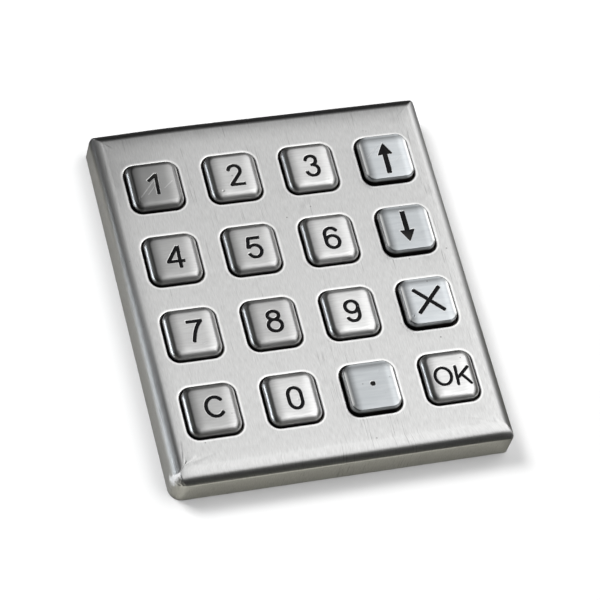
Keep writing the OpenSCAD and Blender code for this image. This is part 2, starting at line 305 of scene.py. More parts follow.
def perforated_cell(centre, edges, lines, core, profile, tau):
    """One cell of a punched sheet: rings from the lower border, up the hole's wall, to the upper border.

    profile lists (radius, height) up the hole's wall; a ring there is
    centre + base * core + normal * radius.
    """
    xs, ys = cell_lines(centre, edges, lines)
    border = rectangle_ring(xs, ys)
    base, normal = ring_arrays(xs, ys, tau)
    rings = [lift(centre + base * core + normal * r, z) for r, z in profile]
    low, high = lift(border, rings[0][0, 2]), lift(border, rings[-1][0, 2])
    rows = [low, (low + rings[0]) / 2, *rings, (rings[-1] + high) / 2, high]
    return np.concatenate(rows), (len(rows), len(border))


# %% Punched cells of the plate
opening_profile = [    # a slight break below, an upright wall and a rolled upper edge
    (OPENING_R + 0.7, plate_under), (OPENING_R + BURR, plate_under),
    (OPENING_R, plate_under + BURR),
    *((OPENING_R + inset, plate_top - drop) for inset, drop in quarter_round(PUNCH_ROLL, 5)),
    (OPENING_R + PUNCH_ROLL + 0.12, plate_top), (OPENING_R + PUNCH_ROLL + 0.6, plate_top),
]
cells = (cell_x, cell_y)
plate_lines = [divide(edges, POINTS_PER_CELL) for edges in cells]
opening = (OPENING_HALF - OPENING_R, opening_profile, 5 / 24)
plate_stacks = [perforated_cell(key_centre(n), cells, plate_lines, *opening) for n in KEY_NAMES]
print("punched cells:", len(plate_stacks))

# %% [markdown]
# ### Folds and walls
#
# The long sides turn through a right angle, and the ends turn less and then break into their wall at
# a crease, so each has its own reach inwards while both drop the same. While the rings go over the
# fold, the length of metal they have covered is kept, and the UV map is the flat blank: the grain then
# runs over the fold and down the wall, as it does on sheet that was brushed before it was bent.

# %% Border rings over the fold
inner_border = rectangle_ring(*plate_lines)
plate_base, plate_normal = ring_arrays(*plate_lines, 12 / 96)
first_corner = (plate_base < 0).all(1)
corner_r = np.where(first_corner, FIRST_CORNER_R, CORNER_R)


def border_ring(inset_x, inset_y, z):
    """A ring set in from the plate's outline; a corner keeps its radius less the inset, at least 0.3."""
    inset_x, inset_y = np.broadcast_arrays(inset_x, inset_y, corner_r)[:2]
    radius = np.maximum(corner_r - np.maximum(inset_x, inset_y), 0.3)
    core = np.stack([half_w - inset_x - radius, half_l - inset_y - radius], 1)
    return lift(plate_base * core + plate_normal * radius[:, None], z)


def end_inset(drop, radius, turn):
    """How far an end's fold is inside its wall after a drop: radius * (sin(last angle) - sin(angle))."""
    angle = math.acos(max(1 - drop / radius, math.cos(math.radians(turn))))
    return radius * (math.sin(math.radians(turn)) - math.sin(angle))


def fold_ring(turn):
    """The fold's ring for a turn from 0, on the flat, to 1, at the wall, as high all the way round."""
    side = turn * math.pi / 2
    drop = FOLD_DROP * (1 - math.cos(side))
    ends = np.where(plate_base[:, 1] < 0, end_inset(drop, *NEAR_END), end_inset(drop, *FAR_END))
    return border_ring(FOLD_REACH * (1 - math.sin(side)), ends, plate_top - drop)


def even_ring(inset, z):
    """A ring with one inset all round."""
    return border_ring(inset, inset, z)


wall = plate_top - FOLD_DROP - RIM_BREAK
outer, inner = lift(inner_border, plate_top), lift(inner_border, plate_under)
rows = [outer, (outer + fold_ring(0)) / 2, *(fold_ring(turn) for turn in np.linspace(0, 1, 19))]
rows += [even_ring(0, RIM_BREAK + wall * share) for share in (0.985, 0.8, 0.6, 0.4, 0.2, 0.05)]
rows += [even_ring(inset, drop) for inset, drop in quarter_round(RIM_BREAK, 3)]
outer_rows = len(rows)
rows += [even_ring(SHEET - 0.1, 0), even_ring(SHEET, 0.1), even_ring(SHEET, 4)]
bend = quarter_round(INNER_BEND, 5)
rows += [even_ring(SHEET + inset, plate_under - drop) for inset, drop in bend]
border = np.stack([*rows, (rows[-1] + inner) / 2, inner])
print("border rings:", len(border), "of", len(inner_border), "points")


# %% Dressed corners
def ripple(a, b):
    """A smooth, uneven value from 0 to 1, from two parameters, as a sum of sines."""
    wave = np.sin(2.1 * a + 1.3 * b) + np.sin(3.7 * a - 2.2 * b + 1) + np.sin(1.3 * a + 4.1 * b + 2)
    return np.clip(0.5 + wave / 4, 0, 1)


def weld_bead(border):
    """Where bare weld is left at the first corner: a bell round a line that runs from the corner's top
    down towards its left wall, broken up by a ripple."""
    angle = np.degrees(np.arctan2(-plate_normal[:, 1], -plate_normal[:, 0]))[None, :]
    height = border[:, :, 2]
    middle = np.interp(height, [5.0, 8.6, 9.8], [4, 24, 48])
    bell = np.exp(-((angle - middle) / 25) ** 2) * (height > 4.6)
    from_corner = np.hypot(border[:, :, 0] + half_w, border[:, :, 1] + half_l)
    bell *= np.clip((4.2 - from_corner) / 1.2, 0, 1)
    uneven = ripple(angle / 9, 2.3 * height)
    return np.where(first_corner, np.clip(bell * (0.8 + uneven) - 0.35, 0, 0.4) * 2.5, 0)


def dress_corners(border):
    """Moves the outer skin at the four corners inwards, as a flap wheel leaves a dressed weld.

    The move is depth * sin(2 * angle)^2 * ripple, which is nothing on the straight sides, and a
    shallow groove follows each weld along the corner's diagonal.
    """
    diagonal = (2 * plate_normal[:, 0] * plate_normal[:, 1]) ** 2
    depth = np.where(first_corner, FIRST_DEPTH, CORNER_DEPTH)
    skin = border[2:outer_rows - 3]
    bead = weld_bead(skin)
    angle = np.arctan2(plate_normal[:, 1], plate_normal[:, 0])
    uneven = ripple(9 * angle[None, :], 1.6 * skin[:, :, 2])
    groove = np.exp(-((np.abs(plate_normal[:, 0]) - np.abs(plate_normal[:, 1])) / 0.12) ** 2)
    move = depth * (diagonal * uneven * 0.7 + groove * 0.3 * ripple(angle, 5 * skin[:, :, 2]))
    move -= 0.3 * bead * np.minimum(diagonal, move / 0.3)
    skin[:, :, :2] -= plate_normal * move[:, :, None]
    skin[:, :, 2] -= move * 0.25 * (skin[:, :, 2] > plate_top - 3)


dress_corners(border)


def crown(points):
    """Sinks the sheet towards its sides by CROWN * t^2.5, with t from 0 to 1 over CROWN_WIDTH, and less
    and less down the wall. The corner at -X and +Y sinks by the bell SAG as well."""
    near = np.stack([half_w - np.abs(points[:, 0]), half_l - np.abs(points[:, 1])], 1)
    t = np.clip(1 - near / CROWN_WIDTH, 0, 1)
    share = np.clip(points[:, 2] / plate_under, 0, 1)
    end_share = np.where(points[:, 1] > 0, *CROWN_ENDS)
    points[:, 2] -= CROWN * np.hypot(t[:, 0] ** 2.5, end_share * t[:, 1] ** 2.5) * share
    corner = np.hypot(points[:, 0] + half_w, points[:, 1] - half_l)
    points[:, 2] -= SAG[0] * np.exp(-(corner / SAG[1]) ** 2) * share
    return points


# %% The whole sheet, with its flat blank as UV map
def blank_uv(border):
    """The flat blank under each ring: the first fold ring's place plus the length of metal since it."""
    length = metal_length(border)
    length -= length[2]
    straight = np.round(plate_normal)
    slanting = np.abs(straight).sum(1) != 1
    straight[slanting] = plate_normal[slanting]
    flat = border[2, :, :2] + straight * length[:, :, None]
    flat[:3] = border[:3, :, :2]
    flat[outer_rows + 8:] = border[outer_rows + 8:, :, :2]
    return flat.reshape(-1, 2)


cell_points, _ = join_stacks(plate_stacks)
# Painted highlight: the rows over each punched edge's roll get a brighter colour.
rim_rows = np.zeros(len(opening_profile) + 4)
rim_rows[6:12] = 1
rims = np.concatenate([np.repeat(rim_rows, shape[1]) for _, shape in plate_stacks])
plate_points, plate_quads = join_stacks([*plate_stacks, (border.reshape(-1, 3), border.shape[:2])])
plate_extra = np.column_stack([
    np.concatenate([cell_points[:, :2], blank_uv(border)]) / 100,
    np.concatenate([rims, np.zeros(border.size // 3)]),
    np.concatenate([np.zeros(len(rims)), weld_bead(border).ravel()]),
])
plate_points, faces, extra = weld(plate_points, [plate_quads], plate_extra)
plate = make_piece(
    "brushed_front_plate", crown(plate_points), faces, extra[:, :2], rim=extra[:, 2], weld=extra[:, 3]
)
stand_in(plate, "housing", "front_plate")
print("plate:", len(plate_points), "points,", len(plate_quads), "quads")

# %% [markdown]
# ## Legends as strokes
#
# On the real keys the legends are engraved with a round cutter that follows a path, and then filled
# with black enamel. So a legend is kept as the cutter's paths, not as an outline: straight runs, parts
# of an ellipse and one bent run for the 7. From the paths comes a signed distance, negative inside
# the cut, and everything else follows from that one field: the walls, the floor and the enamel.


# %% Paths of the cutter
def arc(cx, cy, rx, ry, start, end, steps=28):
    """Part of an ellipse from one angle to another, in degrees, as (steps + 1) points."""
    a = np.radians(np.linspace(start, end, steps + 1))
    return np.column_stack([cx + rx * np.cos(a), cy + ry * np.sin(a)])


def bent(start, pull, end, steps=16):
    """A quadratic curve from start to end, drawn towards the point pull."""
    t = np.linspace(0, 1, steps + 1)[:, None]
    start, pull, end = np.array(start), np.array(pull), np.array(end)
    return start * (1 - t) ** 2 + pull * 2 * t * (1 - t) + end * t ** 2


def path(*parts):
    """Joins points and point lists into one path."""
    return np.concatenate([np.atleast_2d(np.array(p, float)) for p in parts])


# The paths of each legend, about its key's centre
LEGENDS = {
    "1": [path((-1.72, 0.85), (0.42, 2.45)), path((0.47, 2.8), (0.2, -3.15))],
    "2": [path(arc(0.32, 0.95, 1.5, 1.48, 172, -36), (-1.1, -2.98), (2.35, -3.05))],
    "3": [
        path(arc(0.28, 1.3, 1.32, 1.28, 176, -78)), path((0.1, 0.03), (0.62, 0.03)),
        path(arc(0.25, -1.52, 1.6, 1.55, 80, -172)),
    ],
    "4": [path((1.3, 2.75), (1.12, -3.4)), path((1.2, 2.6), (-1.75, -1.45), (2.42, -1.5))],
    "5": [path((2.05, 2.3), (-0.8, 2.3), (-1.3, -0.22), arc(0.22, -1.38, 1.66, 1.7, 138, -164))],
    "6": [
        path(arc(0.22, 0.5, 1.68, 1.85, 30, 180), (-1.46, -1.5)),
        path(arc(0.22, -1.52, 1.68, 1.72, 0, 360)),
    ],
    "7": [path((-1.32, 2.5), (2.3, 2.5), bent((2.3, 2.4), (0.45, 0.7), (-0.35, -3.1)))],
    "8": [path(arc(0.3, 1.28, 1.42, 1.15, 0, 360)), path(arc(0.28, -1.45, 1.72, 1.6, 0, 360))],
    "9": [
        path(arc(0.18, 0.85, 1.62, 1.6, 0, 360)),
        path((1.8, 0.8), arc(0.12, -1.2, 1.68, 1.88, 0, -152)),
    ],
    "0": [path(
        arc(0.35, 0.35, 1.62, 1.85, 0, 180), arc(0.35, -1.45, 1.62, 1.85, 180, 360), (1.97, 0.35)
    )],
    "clear": [path(arc(0.62, 0.1, 2.2, 2.55, 35, 325))],
    "ok": [
        path(arc(-2.05, -0.35, 2.05, 2.3, 0, 360)), path((1.5, 1.85), (1.26, -2.95)),
        path((4.72, 1.5), (1.75, -1.05)), path((2.55, -0.3), (4.62, -3.0)),
    ],
    "cross": [path((-3.4, 3.15), (3.42, -3.42)), path((3.45, 3.25), (-3.3, -3.55))],
    "point": [path((0.16, 0.36), (0.17, 0.36))],
    "up": [path((-0.2, 1.5), (-0.33, -5.0))],
    "down": [path((-0.26, 4.65), (-0.3, -1.5))],
}
CUT_WIDTH = dict.fromkeys(LEGENDS, 0.84)
CUT_WIDTH.update({"1": 0.8, "7": 0.86, "ok": 0.72, "cross": 0.94})
CUT_WIDTH.update({"point": 1.25, "up": 1.24, "down": 1.24})
ROUND_ENDS = ("ok", "point")
# The arrows' heads are pocketed as triangles with a slightly swept base.
ARROW_HEADS = {
    "up": [(-0.12, 3.85), (-2.15, 0.38), (-0.2, 0.52), (1.8, 0.48)],
    "down": [(-0.3, -4.2), (1.75, -0.72), (-0.3, -0.92), (-2.2, -0.82)],
}
print("legends:", len(LEGENDS))


# %% Signed distance of a legend
def path_distance(points, line, half_width, round_ends):
    """Distance to a path less half the cut's width: runs meet round, and each end is round or flat."""
    a, run = line[:-1], np.diff(line, axis=0)
    length = np.linalg.norm(run, axis=1)
    away = points[:, None, :] - a
    along = (away * run).sum(2) / length
    across = np.abs(away[:, :, 0] * run[:, 1] - away[:, :, 1] * run[:, 0]) / length
    past = np.maximum(np.maximum(-along, along - length), 0)
    found = np.hypot(past, across) - half_width
    if round_ends:
        return found.min(1)
    side = (across - half_width)[:, [0, -1]]
    beyond = np.stack([-along[:, 0], along[:, -1] - length[-1]], 1)
    flat = np.where((beyond > 0) & (side > 0), np.hypot(beyond, side), np.maximum(beyond, side))
    for end in (0, -1):
        found[:, end] = np.where(beyond[:, end] > 0, flat[:, end], found[:, end])
    return found.min(1)


def polygon_distance(points, corners):
    """Distance to a closed polygon's nearest edge, negative where a ray crosses an odd number of them."""
    a = np.array(corners, float)
    b = np.roll(a, -1, 0)
    run = b - a
    away = points[:, None, :] - a
    t = np.clip((away * run).sum(2) / (run ** 2).sum(1), 0, 1)
    distance = np.linalg.norm(away - t[:, :, None] * run, axis=2).min(1)
    above_a, above_b = points[:, None, 1] >= a[:, 1], points[:, None, 1] >= b[:, 1]
    turn = run[:, 0] * away[:, :, 1] - run[:, 1] * away[:, :, 0]
    crosses = (above_a & ~above_b & (turn < 0)) | (~above_a & above_b & (turn > 0))
    return np.where(crosses.sum(1) % 2 == 1, -distance, distance)


def legend_distance(name, points):
    """The least of a legend's path distances, and of its arrow head's."""
    found = [path_distance(points, p, CUT_WIDTH[name] / 2, name in ROUND_ENDS) for p in LEGENDS[name]]
    if name in ARROW_HEADS:
        found.append(polygon_distance(points, ARROW_HEADS[name]))
    return np.minimum.reduce(found)


# %% [markdown]
# ## The key caps
#
# A cap's top is a height over the plane, so it is a grid. The grid's square corners are pulled into
# quarter discs, and its border becomes one more rounded ring. From there the cap goes on as rings:
# over the edge, down the side, out to the flange and closed below.
#
# Most caps are pillows with a wide roll. The arrows, the cross and the point sit on flat caps with a
# crisp edge and leaning sides. Worn keypads never have sixteen keys exactly level, so each cap leans
# by a small amount of its own. That, with a darker tone on some caps and a painted shade across them,
# gives neighbouring keys different greys.

# %% Values of the caps
CAP_CORE, CAP_R = 4.0, 2.5
FLANGE_CORE, FLANGE_R, FLANGE_T = 6.0, 2.0, 1.0
FLANGE_BREAK = 0.15
TOP_HALF, GRID = 5.3, 87
PILLOW_ROLL = 1.65
FLAT_ROLL, FLAT_LEAN = 0.32, 0.15
# Where a cap's slow fall starts, and how deep it is at the two sides, far and near
PILLOW_EASE = (2.4, 0.26, 0.08, 0.08)
FLAT_EASE = (3.5, 0.18, 0.2, 0.03)
CUT_DEPTH = 0.25
ENAMEL_LOW, ENAMEL_DISH = 0.05, 0.05
# How each key leans (rise towards +X and towards +Y, in millimetres per millimetre), how much darker
# its tone is at its middle, and how that changes towards +X, which is a painted shade
KEYS = {
    "1": (0.012, 0.004, 0.95, -0.05), "2": (0, 0, 0.22, 0),
    "3": (-0.006, 0, 0.07, 0), "up": (0.006, 0.002, 0.12, -0.02),
    "4": (0.011, 0.003, 0.54, -0.03), "5": (0.007, 0.004, 0.38, -0.01),
    "6": (0, 0, 0.08, 0), "down": (0.002, 0.002, 0.33, 0),
    "7": (0.003, 0, 0.26, 0), "8": (0.006, 0, 0.4, 0),
    "9": (-0.014, -0.002, 0, 0), "cross": (-0.006, 0, 0.14, 0),
    "clear": (0.01, 0.003, 0.46, -0.02), "0": (-0.01, 0, 0.04, 0),
    "point": (0.005, 0, 0.33, 0), "ok": (-0.016, -0.002, 0, 0),
}
# Small pits in the tops: place, radius and depth
PITS = {
    "2": [(-3.6, -4.4, 0.16, 0.12)],
    "3": [(3.5, -4.5, 0.13, 0.06)],
    "0": [(1.05, -1.0, 0.13, 0.08)],
    "cross": [(-4.95, -3.95, 0.16, 0.08), (-4.4, -4.3, 0.1, 0.05)],
    "1": [(-4.7, -3.6, 0.15, 0.06), (-4.9, -4.5, 0.12, 0.06), (-0.6, -1.0, 0.1, 0.04)],
    "point": [(2.4, 3.5, 0.1, 0.05)],
}
# Scratches in the tops: from, to and width
SCRATCHES = {
    "1": [(-4.3, -3.4, -0.2, 0.9, 0.12), (-2.4, -2.9, 0.9, 0.5, 0.08), (2.0, -1.6, 4.3, 0.2, 0.1)],
    "up": [(-4.9, -0.2, -1.5, 3.2, 0.1), (-5.0, 0.6, -2.6, 2.4, 0.07), (2.2, -1.6, 4.4, 0.2, 0.08)],
    "7": [(1.2, -3.6, 3.4, -3.2, 0.12), (1.8, -3.9, 2.9, -3.3, 0.08)],
}


# %% Grid of a cap's top
def top_grid():
    """A square grid whose corners are pulled round: where both |x| and |y| pass the core, the square
    there becomes a quarter disc by x' = x * sqrt(1 - y^2 / 2) and y' = y * sqrt(1 - x^2 / 2)."""
    line = np.linspace(-TOP_HALF, TOP_HALF, GRID)
    y, x = np.meshgrid(line, line, indexing="ij")
    reach = TOP_HALF - CAP_CORE
    u, v = (np.clip((np.abs(k) - CAP_CORE) / reach, 0, 1) for k in (x, y))
    pulled_x = np.sign(x) * (CAP_CORE + reach * u * np.sqrt(1 - v ** 2 / 2))
    pulled_y = np.sign(y) * (CAP_CORE + reach * v * np.sqrt(1 - u ** 2 / 2))
    corner = (u > 0) & (v > 0)
    return np.where(corner, pulled_x, x), np.where(corner, pulled_y, y)


TOP_X, TOP_Y = top_grid()
TOP_FLAT = np.column_stack([TOP_X.ravel(), TOP_Y.ravel()])
STEP = 2 * TOP_HALF / (GRID - 1)
numbers = np.arange(GRID * GRID).reshape(GRID, GRID)
TOP_QUADS = np.stack(
    [numbers[:-1, :-1], numbers[:-1, 1:], numbers[1:, 1:], numbers[1:, :-1]], -1
).reshape(-1, 4)
TOP_BORDER = np.concatenate([    # anticlockwise from the lower right corner
    numbers[:-1, -1], numbers[-1, :0:-1], numbers[:0:-1, 0], numbers[0, :-1],
])
print("cap grid:", GRID, "x", GRID, "points,", round(STEP, 3), "mm apart")


# %% Height of a cap's top
def roll_drop(flat):
    """How far a pillow falls: r - sqrt(r^2 - (r - d)^2), with d the distance in from its side."""
    if flat:
        return np.zeros_like(TOP_X)
    out = np.hypot(*(np.maximum(np.abs(k) - CAP_CORE, 0) for k in (TOP_X, TOP_Y)))
    over = np.clip(PILLOW_ROLL - (CAP_R - out), 0, PILLOW_ROLL)
    return PILLOW_ROLL - np.sqrt(PILLOW_ROLL ** 2 - over ** 2)


def crown_drop(x, y, flat, lean):
    """The slow fall of a cap towards its sides plus its lean; no point rises above its full height."""
    tilt = lean[0] * x + lean[1] * y - (abs(lean[0]) + abs(lean[1])) * CAP_CORE
    start, sides, far, near = FLAT_EASE if flat else PILLOW_EASE
    ease_x, ease_y = (np.clip((np.abs(k) - start) / (5.4 - start), 0, 1.25) ** 2.5 for k in (x, y))
    return np.maximum(sides * ease_x + np.where(y > 0, far, near) * ease_y - tilt, 0)


def pit_drop(name, x, y):
    """Each pit is a bell, depth * exp(-(distance / radius)^2)."""
    found = np.zeros_like(x)
    for px, py, radius, depth in PITS.get(name, []):
        found += depth * np.exp(-((x - px) ** 2 + (y - py) ** 2) / radius ** 2)
    return found


def scratch_mask(name, flat):
    """From 0 to 1 across each scratch, a bell of the distance to its line, fading at its two ends."""
    found = np.zeros(len(flat))
    for *line, width in SCRATCHES.get(name, []):
        distance = path_distance(flat, np.reshape(line, (2, 2)), 0, True)
        found = np.maximum(found, np.exp(-(distance / width) ** 2))
    return found


# %% The cut, with grid points drawn to its edge
def engrave(name):
    """The moved grid, the distance to the cut, the way out of it, and which points lie in it.

    Points within half a step of the edge slide onto it and stay high. The next row inwards
    slides to just inside the edge and goes down to the floor, so each wall is steep and even.
    """
    distance = legend_distance(name, TOP_FLAT).reshape(GRID, GRID)
    slope = np.stack(np.gradient(distance, STEP)[::-1])
    out = slope / np.maximum(np.hypot(*slope), 0.5)
    edge = np.abs(distance) < STEP / 2
    inner = (distance <= -STEP / 2) & (distance > -1.5 * STEP)
    slide = np.where(edge, -distance, np.where(inner, -STEP / 2 - distance, 0))
    return np.stack([TOP_X, TOP_Y]) + slide * out, distance, out, distance <= -STEP / 2


# %% Rings of a cap
def cap_profile(flat):
    """(core, radius, height) of each ring, from the top's border to the middle of the underside."""
    low, high = flange_low, flange_low + FLANGE_T
    if flat:
        start, foot = CAP_R - FLAT_LEAN - FLAT_ROLL, key_top - FLAT_ROLL
        side = [(start - 0.12, key_top)]
        roll = quarter_round(FLAT_ROLL, 8)
        side += [(start + FLAT_ROLL - inset, key_top - drop) for drop, inset in roll]
        side += [
            (start + FLAT_ROLL + FLAT_LEAN * share, foot + (plate_top - foot) * share)
            for share in (0.1, 0.4, 0.7, 1)
        ]
    else:
        first = math.asin(1 - (CAP_R - TOP_HALF + CAP_CORE) / PILLOW_ROLL)
        side = [
            (CAP_R - PILLOW_ROLL * (1 - math.sin(a)), key_top - PILLOW_ROLL * (1 - math.cos(a)))
            for a in np.linspace(first, math.pi / 2, 13)[1:]
        ]
    side += [(CAP_R, z) for z in ((plate_top + high) / 2, high + 0.05, high)]
    side.append((CAP_R + 0.05, high))
    flange = [
        (FLANGE_R - FLANGE_BREAK, high), (FLANGE_R, high - FLANGE_BREAK),
        (FLANGE_R, low + FLANGE_BREAK), (FLANGE_R - FLANGE_BREAK, low),
    ]
    rings = [(CAP_CORE, *s) for s in side] + [(FLANGE_CORE, *s) for s in flange]
    return rings + [(CAP_CORE, CAP_R, low), (CAP_CORE / 2, CAP_R / 2, low)]


def make_cap(name):
    """One key cap, closed all round, and the fields that its enamel is cut from."""
    flat, (lean_x, lean_y, darker, shade_slope) = name in FLAT_KEYS, KEYS[name]
    (x, y), distance, out, cut = engrave(name)
    surface = key_top - roll_drop(flat) - crown_drop(x, y, flat, (lean_x, lean_y))
    top = np.stack([x, y, surface - pit_drop(name, x, y) - CUT_DEPTH * cut], -1).reshape(-1, 3)
    border = top[TOP_BORDER, :2]
    base = np.clip(border, -CAP_CORE, CAP_CORE) / CAP_CORE
    normal = (border - base * CAP_CORE) / (TOP_HALF - CAP_CORE)
    rows = [top[TOP_BORDER]]
    for core, radius, height in cap_profile(flat):
        place = base * core + normal * radius
        share = np.clip((height - plate_top) / (key_top - plate_top), 0, 1)
        rows.append(lift(place, height - crown_drop(*place.T, flat, (lean_x, lean_y)) * share))
    rows = np.stack(rows)
    side_uv = rows[0, :, :2] + normal * metal_length(rows)[:, :, None]
    points = np.concatenate([top, rows.reshape(-1, 3), [[0, 0, flange_low]]])
    pole = len(points) - 1
    last = pole - len(border) + np.arange(len(border))
    fan = np.stack([last, np.full(len(border), pole), np.roll(last, -1)], -1)
    quads = np.concatenate([TOP_QUADS, band(rows.shape[:2], len(top))])
    flat_uv = np.concatenate([top[:, :2], side_uv.reshape(-1, 2), [[0, 0]]])
    rise = points[:, 2] - plate_top
    near = np.concatenate([np.ones(len(top)), np.tile(np.abs(normal[:, 1]), len(rows)), [0]])
    scratches = np.concatenate([scratch_mask(name, top[:, :2]), np.zeros(len(points) - len(top))])
    # Each key's darker tone, plus a painted shade that changes across it along X.
    wear = np.clip(darker + shade_slope * points[:, 0], 0, 1)
    # Painted highlight: a lighter colour up the sides facing -X and +X, starting 0.5 mm over the plate,
    # and a thin bright line just outside the legend's cut.
    edge = np.clip(rise / 0.5 - 1, 0, 1) * (1 - near)
    edge[:len(top)] = (np.clip(0.8 - np.abs(distance - 0.07) / 0.17, 0, 1) * ~cut).ravel()
    # Painted shade, with some dirt: darker low on the sides inside the gap round each cap, and higher up
    # on the sides facing -Y and +Y of a flat cap.
    grime = np.clip((0.55 + 0.7 * near * flat - rise) / 0.6, 0, 1)
    extra = np.column_stack([flat_uv[:, ::-1], scratches, wear, edge, grime])
    points, faces, extra = weld(points, [quads, fan], extra)
    points[:, :2] += key_centre(name)
    kept = dict(zip(("scratch", "wear", "edge", "grime"), extra[:, 2:].T))
    cap = make_piece("cap_" + name, points, faces, extra[:, :2] / 100, **kept)
    stand_in(cap, "button_" + name, "key_" + name)
    return cap, (x, y, surface, distance, out, cut)


caps, fields = {}, {}
for name in KEY_NAMES:
    caps[name], fields[name] = make_cap(name)
print("caps:", len(caps), "with", len(caps["1"].data.vertices), "points each")

# %% [markdown]
# ## Enamel in the legends
#
# The enamel is a piece of its own: the part of the cap's grid that lies inside the cut, raised almost
# to the steel and dished along the middle of each stroke, as a paint that shrinks while it dries. The
# dish catches a thin grey light along the strokes.


# %% Enamel pieces
def open_edges(quads):
    """Directed edges of the quads that no neighbour shares."""
    edges = np.concatenate([quads[:, [k, (k + 1) % 4]] for k in range(4)])
    size = edges.max() + 1
    forward, backward = edges[:, 0] * size + edges[:, 1], edges[:, 1] * size + edges[:, 0]
    return edges[~np.isin(forward, backward)]


def make_enamel(name):
    """A closed slab over the cut's floor: upper face, lower face and the wall between them."""
    x, y, surface, distance, out, cut = fields[name]
    used, quads = np.unique(TOP_QUADS[cut.ravel()[TOP_QUADS].all(1)], return_inverse=True)
    quads = quads.reshape(-1, 4)
    at_edge = (distance > -1.5 * STEP) * (STEP / 2 - 0.012)
    place = (np.stack([x, y]) + at_edge * out).reshape(2, -1).T[used] + key_centre(name)
    depth = ENAMEL_LOW + ENAMEL_DISH * np.sqrt(np.clip(-distance / 0.4, 0, 1))
    upper = lift(place, (surface - depth).ravel()[used])
    lower = lift(place, (surface - CUT_DEPTH - 0.02).ravel()[used])
    count, edges = len(used), open_edges(quads)
    walls = np.stack([edges[:, 0], edges[:, 0] + count, edges[:, 1] + count, edges[:, 1]], -1)
    faces = np.concatenate([quads, quads[:, ::-1] + count, walls])
    piece = make_piece("enamel_" + name, np.concatenate([upper, lower]), [faces])
    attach(piece, "button_" + name)
    return piece


enamels = [make_enamel(name) for name in KEY_NAMES]
print("enamel pieces:", len(enamels))

# %% [markdown]
# ## The silicone mat
#
# The mat is moulded in one: a web with a dome under each key, and a plug inside the dome's head that
# carries a carbon pill. When a key goes down, the wall of its dome folds and the head sinks. Here the
# web and the domes stay still, and each plug rides on its key.

# %% Values of the mat
DOME_FOOT_R, DOME_HEAD_R, DOME_WALL = 5.5, 3.5, 0.45
PLUG_R = 2.3
WEB_R, WEB_ROLL = 1.8, 0.15
mat_half = span("key_mat")[1][:2]
pill_high = span("pill_1")[1][2]
fixing_x, fixing_y = span("mount_bushes")[1][:2] - 2.5
web_x = np.array([-mat_half[0] + 1.75, -20, 0, 20, mat_half[0] - 1.75])
end_x = np.array([web_x[0], -28, -10, 10, 28, web_x[-1]])
end_y = mat_half[1] - 0.6
web_y = np.array([-end_y, -39.5, -20.9, 0, 20.9, 39.5, end_y])


# %% The web
def round_hole(radius, edge=0.1):
    """A moulded hole in the web: an upright wall with a small radius at both ends."""
    lip = quarter_round(edge, 2)
    lower = [(radius + 0.4, web_low)] + [(radius + inset, web_low + z) for z, inset in lip]
    upper = [(radius + inset, web_high - z) for z, inset in lip[::-1]]
    return [*lower, *upper, (radius + 0.4, web_high)]


web_lines = (divide(np.array(sorted({*web_x, *end_x}))), divide(web_y))
dome_hole = round_hole(DOME_FOOT_R - DOME_WALL)
mat_stacks = [
    perforated_cell(key_centre(name), (web_x, web_y), web_lines, 0, dome_hole, 0.5)
    for name in KEY_NAMES
]
for y in (-fixing_y, fixing_y):
    for x in (-fixing_x, -20, 0, 20, fixing_x):
        hole = round_hole(2.8 if abs(x) > 30 else 2.55)
        mat_stacks.append(perforated_cell(np.array([x, y]), (end_x, web_y), web_lines, 0, hole, 0.5))
web_border = rectangle_ring(*web_lines)
web_base, web_normal = ring_arrays(*web_lines, 0.03)
roll = quarter_round(WEB_ROLL, 3)
levels = [(inset, web_high - z) for z, inset in roll] + [(inset, web_low + z) for z, inset in roll[::-1]]
web_rows = [lift(web_border, web_high)]
for inset, z in levels:
    web_rows.append(lift(web_base * (mat_half - WEB_R) + web_normal * (WEB_R - inset), z))
web_rows.append(lift(web_border, web_low))
mat_stacks.append((np.concatenate(web_rows), (len(web_rows), len(web_border))))
web_points, web_quads = join_stacks(mat_stacks)
web = make_piece("mat_web", *weld(web_points, [web_quads])[:2])
stand_in(web, "housing", "key_mat")
print("mat web:", len(web.data.vertices), "points")


# %% Domes and plugs
def turned(name, outline, centre, count=48):
    """A closed outline of (radius, height) points, listed up its outer side, carried round an axis; a
    radius of 0 is a pole."""
    angles = np.linspace(0, 2 * math.pi, count, endpoint=False)
    outline = np.array(outline, float)[::-1]
    radius, height = outline[:, :1], outline[:, 1:]
    rows = np.stack([
        centre[0] + radius * np.cos(angles),
        centre[1] + radius * np.sin(angles),
        np.broadcast_to(height, (len(outline), count)),
    ], -1)
    points, (quads,), _ = weld(rows.reshape(-1, 3), [band(rows.shape[:2])])
    first, last = quads[:, 0] == quads[:, 3], quads[:, 1] == quads[:, 2]
    fans = np.concatenate([quads[first & ~last][:, [0, 1, 2]], quads[last & ~first][:, [0, 1, 3]]])
    return make_piece(name, points, [quads[~first & ~last], fans])


def dome_outline():
    """A dome's section, from the inner foot up inside, across under the head and back down outside.

    The wall follows an S: radius falls from foot to head by (1 - cos) of its height.
    """
    height = flange_low - web_high
    t = np.linspace(0, 1, 9)
    radius = DOME_FOOT_R - (DOME_FOOT_R - DOME_HEAD_R) * (1 - np.cos(math.pi * t)) / 2
    outer = np.column_stack([radius, web_high + height * t * 0.94])
    inner = np.column_stack([radius - DOME_WALL, web_high + (height - DOME_WALL) * t])
    head = [(DOME_HEAD_R - 0.12, flange_low), (0, flange_low)]
    return [(0, flange_low - DOME_WALL), *inner[::-1], *outer, *head]


